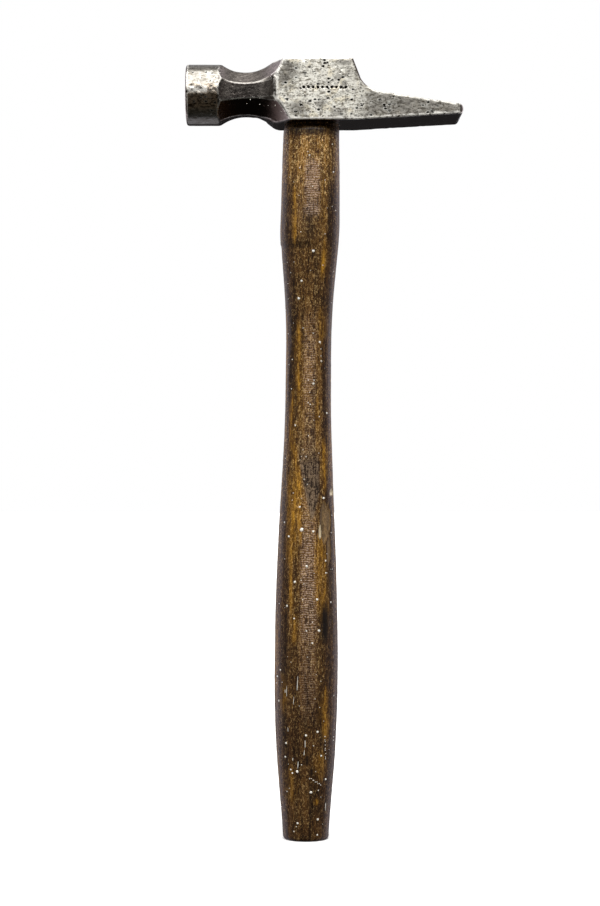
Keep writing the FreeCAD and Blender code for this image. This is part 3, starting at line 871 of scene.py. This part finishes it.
def paint_drops(name, surface, drops, material, seed):
    """Adds flat blobs of paint. Each has a place, a half width, how many times longer it is, and a lean."""
    surface_points = get_points(surface)
    normals = read_vertices(surface, "normal")
    tree = tree_of(surface_points)
    rng = np.random.default_rng(seed)
    turns = np.linspace(0, 2 * math.pi, DROP_SIDES, endpoint=False)
    points, faces = [], []
    for place, radius, stretch, lean in drops:
        _, index, _ = tree.find(place)
        middle, normal = surface_points[index], normals[index]
        up = np.array([math.sin(lean), 0, math.cos(lean)])
        across = np.cross(up, normal)
        across /= np.linalg.norm(across)
        up = np.cross(normal, across)
        ragged = radius * (1 + 0.16 * rng.uniform(-1, 1, DROP_SIDES))
        outline = np.outer(np.cos(turns) * ragged, across) + np.outer(np.sin(turns) * ragged * stretch, up)
        rise = min(DROP_RISE * radius, DROP_RISE_LIMIT) * normal
        blob = [[middle - rise * 0.25]]
        blob += [middle + outline * scale + rise * height for scale, height in DROP_RINGS]
        blob += [[middle + rise]]
        numbers = []
        for ring in blob:
            numbers.append(range(len(points), len(points) + len(ring)))
            points.extend(ring)
        faces += [face[::-1] for face in ring_faces(numbers[1], numbers[0])]
        for lower, upper in zip(numbers[1:], numbers[2:]):
            faces += ring_faces(lower, upper)
    return add_mesh(name, np.array(points), faces, material)


def handle_drops():
    """Paint on the handle: the drops and scratches on its front, and small drops all round."""
    drops = []

    def add(across, z, radius, stretch=1.0, lean=0.0):
        half_width, _ = handle_half_sizes(np.array(float(z)))
        angle = math.asin(np.clip(across / half_width, -0.999, 0.999))
        drops.append((handle_surface(np.array(float(z)), angle), radius, stretch, lean))

    for row in FRONT_DROPS + SCRATCHES:
        add(*row)
    for across, z, length, rise, count in DOTTED:
        for part in np.linspace(0, 1, count):
            add(across + length * part, z + rise * part, 0.2)
    rng = np.random.default_rng(51)
    for _ in range(RANDOM_DROPS):
        z = rng.uniform(*DROP_HEIGHTS)
        angle = rng.uniform(0, 2 * math.pi)
        small = math.cos(angle) >= 0.1 or rng.uniform() < 0.6
        radius = rng.uniform(*(SMALL_DROP if small else LARGE_DROP))
        drops.append((handle_surface(np.array(z), angle), radius, rng.uniform(0.9, 1.3), 0.0))
    return drops


def head_drops():
    """Paint on the neck and elsewhere on the head."""
    drops = []
    for x, z, radius in NECK_DROPS:
        drops.append((np.array([EYE_X + x, -HALF_SIDE + 2, EYE_Z + z]), radius, 1.0, 0.0))
    rng = np.random.default_rng(52)
    for _ in range(RANDOM_HEAD_DROPS):
        x = rng.uniform(-36, 58)
        side = rng.choice((-1, 1))
        place = np.array([EYE_X + x, side * HALF_SIDE, EYE_Z + rng.uniform(-11, 11)])
        drops.append((place, rng.uniform(*HEAD_DROP), 1.0, 0.0))
    return drops


# ---- materials ----


class Wire:
    """One output of a node. Sums, differences and products with it add math nodes."""

    def __init__(self, nodes, node, output):
        self.nodes = nodes
        self.node = node
        self.socket = node.outputs[output]

    def beside(self, output):
        """Another output of the same node."""
        return Wire(self.nodes, self.node, output)

    def ramp(self, low, high):
        """0 where this is below low, and 1 where it is above high."""
        inputs = {"Value": self, "From Min": low, "From Max": high}
        return self.nodes.add("MapRange", inputs, interpolation_type="SMOOTHSTEP")

    def mix(self, first, second, blend="MIX"):
        """The first colour where this is 0, and the second where it is 1."""
        return self.nodes.mix(self, first, second, blend)

    def fade(self, low, high, first, second):
        """The first colour where this is below low, and the second where it is above high."""
        return self.ramp(low, high).mix(first, second)

    def __add__(self, other):
        return self.nodes.math("ADD", self, other)

    def __sub__(self, other):
        return self.nodes.math("SUBTRACT", self, other)

    def __rsub__(self, other):
        return self.nodes.math("SUBTRACT", other, self)

    def __mul__(self, other):
        return self.nodes.math("MULTIPLY", self, other)

    __radd__ = __add__
    __rmul__ = __mul__


class Nodes:
    """Adds nodes to a tree. An input is a number, a colour or the wire of another node."""

    def __init__(self, owner):
        owner.use_nodes = True
        self.tree = owner.node_tree
        self.tree.nodes.clear()

    def add(self, kind, inputs=None, output=0, **settings):
        node = self.tree.nodes.new("ShaderNode" + kind)
        for name, value in settings.items():
            setattr(node, name, value)
        for name, value in (inputs or {}).items():
            socket = node.inputs[name]
            if isinstance(value, Wire):
                self.tree.links.new(value.socket, socket)
            else:
                socket.default_value = (*value, 1) if socket.type == "RGBA" else value
        return Wire(self, node, output)

    def finish(self, kind, shader):
        output = self.tree.nodes.new("ShaderNode" + kind)
        self.tree.links.new(shader.socket, output.inputs["Surface"])

    def math(self, operation, first, second=0.0):
        return self.add("Math", {0: first, 1: second}, operation=operation)

    def mix(self, factor, first, second, blend="MIX"):
        return self.add("Mix", {0: factor, 6: first, 7: second}, 2, data_type="RGBA", blend_type=blend)

    def attributes(self, *names):
        return [self.add("Attribute", None, "Fac", attribute_name=name) for name in names]

    def place(self, *scale):
        """The place on the object in millimetres, scaled."""
        inputs = {"Vector": self.add("TexCoord", None, "Object")}
        inputs["Scale"] = [value / MM for value in scale or (1, 1, 1)]
        return self.add("Mapping", inputs)

    def noise(self, place, scale, detail=3.0, roughness=0.55, distortion=0.0):
        inputs = {"Vector": place, "Scale": scale, "Detail": detail, "Roughness": roughness}
        return self.add("TexNoise", {**inputs, "Distortion": distortion})

    def waves(self, place, scale, distortion, direction):
        inputs = {"Vector": place, "Scale": scale, "Distortion": distortion}
        return self.add("TexWave", inputs, "Fac", bands_direction=direction)

    def cells(self, place, scale):
        """The distance to the middle of a random cell, and two random numbers for each cell."""
        distance = self.add("TexVoronoi", {"Vector": place, "Scale": scale}, "Distance")
        first = self.add("SeparateColor", {0: distance.beside("Color")})
        return distance, first, first.beside(1)

    def bump(self, height, strength, distance):
        """A bump of this many millimetres."""
        return self.add("Bump", {"Strength": strength, "Distance": distance * MM, "Height": height})


def new_material(name, surface, shader="BsdfPrincipled"):
    """A material. surface adds its nodes and returns the inputs of its shader."""
    material = bpy.data.materials.new(name)
    nodes = Nodes(material)
    nodes.finish("OutputMaterial", nodes.add(shader, surface(nodes)))
    return material


def steel_surface(nodes):
    place = nodes.place()
    drawn = nodes.place(0.65, 1, 1)
    middle = nodes.noise(drawn, 0.8, 5, 0.68)
    stroke = nodes.noise(nodes.place(0.3, 1, 1), 1.7, 4, 0.65)
    fine = nodes.noise(nodes.place(0.6, 1, 1), 3.0, 4, 0.75)
    tone = 0.38 * middle + 0.36 * stroke + 0.26 * fine
    bright, wear_and_highlight, pit = nodes.attributes("bright", "wear_and_highlight", "pit")
    bell, soot_and_shade, dull, painted_dark_band = nodes.attributes("bell", "soot_and_shade", "dull", "painted_dark_band")

    # Rust pits, each with a pale halo, and crowds of small specks.
    distance, lot, second_lot = nodes.cells(drawn, 0.8)
    reach = distance + 0.8 * fine - 0.24 * second_lot
    few = lot.ramp(0.55, 0.6) * nodes.noise(place, 0.27).ramp(0.42, 0.54)
    halo = reach.ramp(0.85, 0.65) * few
    dark = nodes.math("MAXIMUM", reach.ramp(0.6, 0.52) * few, pit.ramp(0.55, 0.9))
    distance, lot, _ = nodes.cells(drawn, 1.5)
    crowd = 0.8 * nodes.noise(place, 0.33).ramp(0.6, 0.42) + 0.05
    speck = (distance + 0.4 * fine).ramp(0.63, 0.54) * lot.ramp(0.4, 0.45)
    speck = speck * crowd * (1 - bell)

    # Ground steel, browner on the bell and grey where it is dull.
    ground = tone.fade(0.4, 0.54, (0.24, 0.215, 0.17), (1, 0.98, 0.9))
    warm = 0.6 * nodes.noise(place, 0.25).ramp(0.5, 0.65)
    ground = warm.mix(ground, (1, 0.93, 0.78), "MULTIPLY")
    brown = tone.fade(0.42, 0.56, (0.26, 0.235, 0.195), (0.52, 0.505, 0.475))
    # Painted dark reflection: the band lower on the bell is coloured from dark brown to cream by the tone.
    stain_and_shade = tone.fade(0.44, 0.55, (0.08, 0.052, 0.03), (0.82, 0.64, 0.46))
    ground = bell.mix(ground, painted_dark_band.mix(brown, stain_and_shade))
    patch = nodes.noise(place, 0.2).ramp(0.46, 0.34) * (0.6 - bell)
    smudge = nodes.math("MINIMUM", 0.85 * dull + nodes.math("MAXIMUM", patch, 0.0), 0.9)
    grey = tone.fade(0.4, 0.58, (0.075, 0.069, 0.06), (0.32, 0.3, 0.268))
    ground = smudge.mix(ground, grey)
    ground = (0.4 * halo).mix(ground, (1, 1, 0.95))
    ground = speck.mix(ground, (0.06, 0.05, 0.038))
    ground = dark.mix(ground, (0.012, 0.01, 0.008))

    patina = tone.fade(0.38, 0.62, (0.065, 0.057, 0.052), (0.3, 0.27, 0.245))
    # Blacker where it is black from the fire, and where painted shade darkens faces that look down, the lower
    # neck facets and the rim of the face.
    patina = soot_and_shade.mix(patina, (0.042, 0.031, 0.026))
    bare = bright * (1 - 0.95 * soot_and_shade)
    # Worn edges, partly real wear and partly painted highlight: near white and less metallic, so they look
    # pale whatever they reflect.
    edge = wear_and_highlight * middle.ramp(0.36, 0.5)
    return {
        "Base Color": edge.mix(bare.mix(patina, ground), (1, 0.98, 0.92)),
        "Roughness": 0.22 + 0.3 * (bare - bell) + 0.3 * (fine - 0.5),
        "Metallic": 1 - 0.65 * edge,
        "Normal": nodes.bump(tone - 0.3 * dark, 0.6, 0.08),
    }


def wood_surface(nodes):
    long_place = nodes.place(1, 1, 0.06)
    grain = nodes.noise(long_place, 1.6, 4, 0.6)
    coarse = nodes.noise(long_place, 0.4)
    fleck = nodes.noise(nodes.place(1, 1, 0.22), 1.7, 3, 0.65)
    curl = nodes.noise(nodes.place(1, 1, 0.6), 1.7, 3, 0.72, 1.0)
    hair = nodes.noise(nodes.place(1, 1, 0.04), 4.5, 2, 0.6)
    both = 0.22 * grain + 0.26 * fleck + 0.52 * curl + 0.14 * (coarse - 0.5) + 0.24 * (hair - 0.5)
    band = nodes.noise(nodes.place(1, 1, 0.03), 0.42, 2, 0.5)
    fibres = both.ramp(0.4, 0.615) * (0.75 * (band + 0.15 * fleck).ramp(0.42, 0.7) + 0.5)
    tone, gold, rubbed_and_sheen, vee = nodes.attributes("tone", "gold", "rubbed_and_sheen", "vee")
    stain_and_shade, bare, end = nodes.attributes("stain_and_shade", "bare", "end")

    # Varnished wood with painted glints in its curly figure, and orange streaks.
    low = tone.mix((0.012, 0.0052, 0.0022), (0.052, 0.022, 0.0065))
    high = tone.mix((0.09, 0.041, 0.013), (0.45, 0.222, 0.048))
    colour = fibres.mix(low, high)
    glint = curl.ramp(0.55, 0.62) * both.ramp(0.48, 0.57) * (0.95 * tone + 0.15)
    colour = glint.mix(colour, (1, 0.7, 0.31))
    orange = fibres.mix((0.11, 0.046, 0.006), (0.63, 0.31, 0.032))
    colour = gold.mix(colour, orange)

    # Polished by the hand, with ripples across the grain, and a painted sheen over the polished band with
    # painted glints on the ripple crests.
    polish_and_sheen = 0.45 * (rubbed_and_sheen * both.ramp(0.36, 0.56))
    colour = polish_and_sheen.mix(colour, (0.24, 0.14, 0.08))
    ripple = nodes.waves(nodes.place(), 0.33, 7.0, "Z")
    ripple_glint = 0.75 * ripple.ramp(0.45, 0.85) * curl.ramp(0.44, 0.54) * rubbed_and_sheen
    colour = ripple_glint.mix(colour, (0.66, 0.47, 0.34))

    # The fibrous patch, dark stains with a painted shadow under the head, bare wood and end grain.
    fibrous = both.fade(0.46, 0.58, (0.02, 0.012, 0.008), (0.27, 0.185, 0.115))
    colour = vee.mix(colour, fibrous)
    colour = stain_and_shade.mix(colour, (0.008, 0.005, 0.004))
    raw = bare.fade(0.2, 0.9, (0.3, 0.175, 0.07), (0.95, 0.84, 0.6))
    dark_raw = bare.fade(0.2, 0.9, (0.07, 0.04, 0.017), (0.6, 0.48, 0.3))
    colour = bare.ramp(0.03, 0.12).mix(colour, fibres.mix(dark_raw, raw))
    rings = nodes.waves(nodes.place(1, 1, 0), 0.23, 3.0, "X")
    ends = 0.3 * rings + 0.7 * nodes.noise(nodes.place(1, 1, 0.3), 2.6, 3, 0.7)
    end_grain = ends.fade(0.3, 0.68, (0.02, 0.01, 0.005), (0.13, 0.078, 0.038))

    relief = 0.35 * (ripple * (rubbed_and_sheen + 0.1)) + both
    return {
        "Base Color": end.mix(colour, end_grain),
        "Roughness": 0.5 + 0.2 * fleck,
        "Specular IOR Level": 0.1,
        "Normal": nodes.bump(relief, 0.7, 0.12),
        "Coat Weight": 0.5,
        "Coat Roughness": 0.12,
        "Coat Normal": nodes.bump(relief, 0.9, 0.2),
    }


def wedge_wood_surface(nodes):
    fibres = nodes.noise(nodes.place(0.5, 2.5, 0.2), 1.4, 4, 0.65)
    crushed = nodes.noise(nodes.place(1, 1, 0.3), 1.8, 3, 0.6)
    (end,) = nodes.attributes("end")
    side = fibres.fade(0.4, 0.62, (0.05, 0.028, 0.013), (0.26, 0.16, 0.075))
    top = crushed.fade(0.4, 0.6, (0.035, 0.02, 0.01), (0.24, 0.15, 0.07))
    return {
        "Base Color": end.mix(side, top),
        "Roughness": 0.45 + 0.2 * fibres,
        "Normal": nodes.bump(crushed, 0.7, 0.12),
    }


def wedge_iron_surface(nodes):
    rust = nodes.noise(nodes.place(), 0.7, 5, 0.65)
    fine = nodes.noise(nodes.place(), 3.0, 4, 0.7)
    colour = rust.fade(0.42, 0.58, (0.3, 0.28, 0.26), (0.13, 0.07, 0.04))
    grimy = nodes.mix(0.7, colour, (0.02, 0.015, 0.01))
    return {
        "Base Color": fine.fade(0.35, 0.65, grimy, colour),
        "Roughness": 0.35 + 0.3 * rust,
        "Metallic": 1.0,
        "Normal": nodes.bump(fine, 0.6, 0.1),
    }


def paint_surface(nodes):
    dirt = nodes.noise(nodes.place(), 1.2, 3, 0.6)
    return {
        "Base Color": dirt.fade(0.25, 0.45, (0.6, 0.52, 0.38), (1, 0.97, 0.88)),
        "Roughness": 0.55,
        "Normal": nodes.bump(dirt, 0.4, 0.05),
    }


# ---- camera, stage and light ----


def add_camera():
    """Looks level along +Y, from in front of the middle of the handle."""
    data = bpy.data.cameras.new("camera")
    data.lens = LENS_MM
    data.sensor_width = SENSOR_MM
    data.clip_start = 0.01
    data.clip_end = 50.0
    camera = add_object("camera", data)
    camera.location = (CAMERA_SIDE, -CAMERA_DISTANCE, CAMERA_HEIGHT)
    camera.rotation_euler = (math.radians(90), 0, 0)
    bpy.context.scene.camera = camera


def add_world():
    """A white studio: a wide soft light in front and above, white walls at the sides, dark below."""
    world = bpy.data.worlds.new("studio")
    bpy.context.scene.world = world
    nodes = Nodes(world)
    along_x = nodes.add("SeparateXYZ", {0: nodes.add("TexCoord", None, "Generated")})
    along_y = along_x.beside("Y")
    degrees_up = nodes.math("DEGREES", nodes.math("ARCTAN2", along_x.beside("Z"), -1.0 * along_y))
    bands = nodes.add("ValToRGB", {0: (1 / 360) * degrees_up + 0.5})
    stops = bands.node.color_ramp.elements
    for index, (degrees, colour) in enumerate(WORLD_BANDS):
        if 0 < index < len(WORLD_BANDS) - 1:
            stops.new((degrees + 180) / 360)
        stops[index].color = (*colour, 1)
    aside = nodes.math("ABSOLUTE", along_x)
    light = aside.ramp(0.6, 0.8).mix(bands, BESIDE_COLOUR)
    wall = aside.ramp(0.35, 0.7) * along_y.ramp(0.08, 0.2)
    light = wall.mix(light, WALL_COLOUR)

    # The light on matt surfaces is narrower and stronger, and the camera sees plain white.
    gain = aside.fade(0.52, 0.12, (DIFFUSE_ASIDE,) * 3, (DIFFUSE_GAIN,) * 3)
    seen_by_camera = nodes.add("LightPath", None, "Is Camera Ray")
    matt = nodes.mix(1.0, light, gain, "MULTIPLY")
    light = seen_by_camera.beside("Is Diffuse Ray").mix(light, matt)
    lit = nodes.add("Background", {"Color": light, "Strength": LIGHT_STRENGTH})
    seen = nodes.add("Background", {"Color": (1, 1, 1), "Strength": 1.0})
    nodes.finish("OutputWorld", nodes.add("MixShader", {0: seen_by_camera, 1: lit, 2: seen}))


def add_floor():
    mesh = bpy.data.meshes.new("floor")
    corners = [(x * FLOOR_HALF, y * FLOOR_HALF, 0) for x, y in ((-1, -1), (1, -1), (1, 1), (-1, 1))]
    mesh.from_pydata(corners, [], [(0, 1, 2, 3)])
    floor = add_object("floor", mesh)
    mesh.materials.append(new_material("floor", lambda nodes: {"Color": (0.9, 0.9, 0.9)}, "BsdfDiffuse"))
    floor.visible_glossy = False
    floor.visible_diffuse = False


# ---- the hammer ----

bpy.context.scene.view_settings.view_transform = "Standard"
add_camera()
add_world()
add_floor()
steel = new_material("forged_steel", steel_surface)
wood = new_material("handle_wood", wood_surface)
head = build_head(steel)
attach(head, "root")
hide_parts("head")
handle = build_handle(wood)
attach(handle, "root")
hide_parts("handle")
wedge_wood = new_material("wedge_wood", wedge_wood_surface)
wedge_iron = new_material("wedge_iron", wedge_iron_surface)
for wedge in build_wedges(wedge_wood, wedge_iron):
    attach(wedge, "root")
paint = new_material("old_paint", paint_surface)
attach(paint_drops("handle_paint_drops", handle, handle_drops(), paint, 61), "root")
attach(paint_drops("head_paint_drops", head, head_drops(), paint, 62), "root")
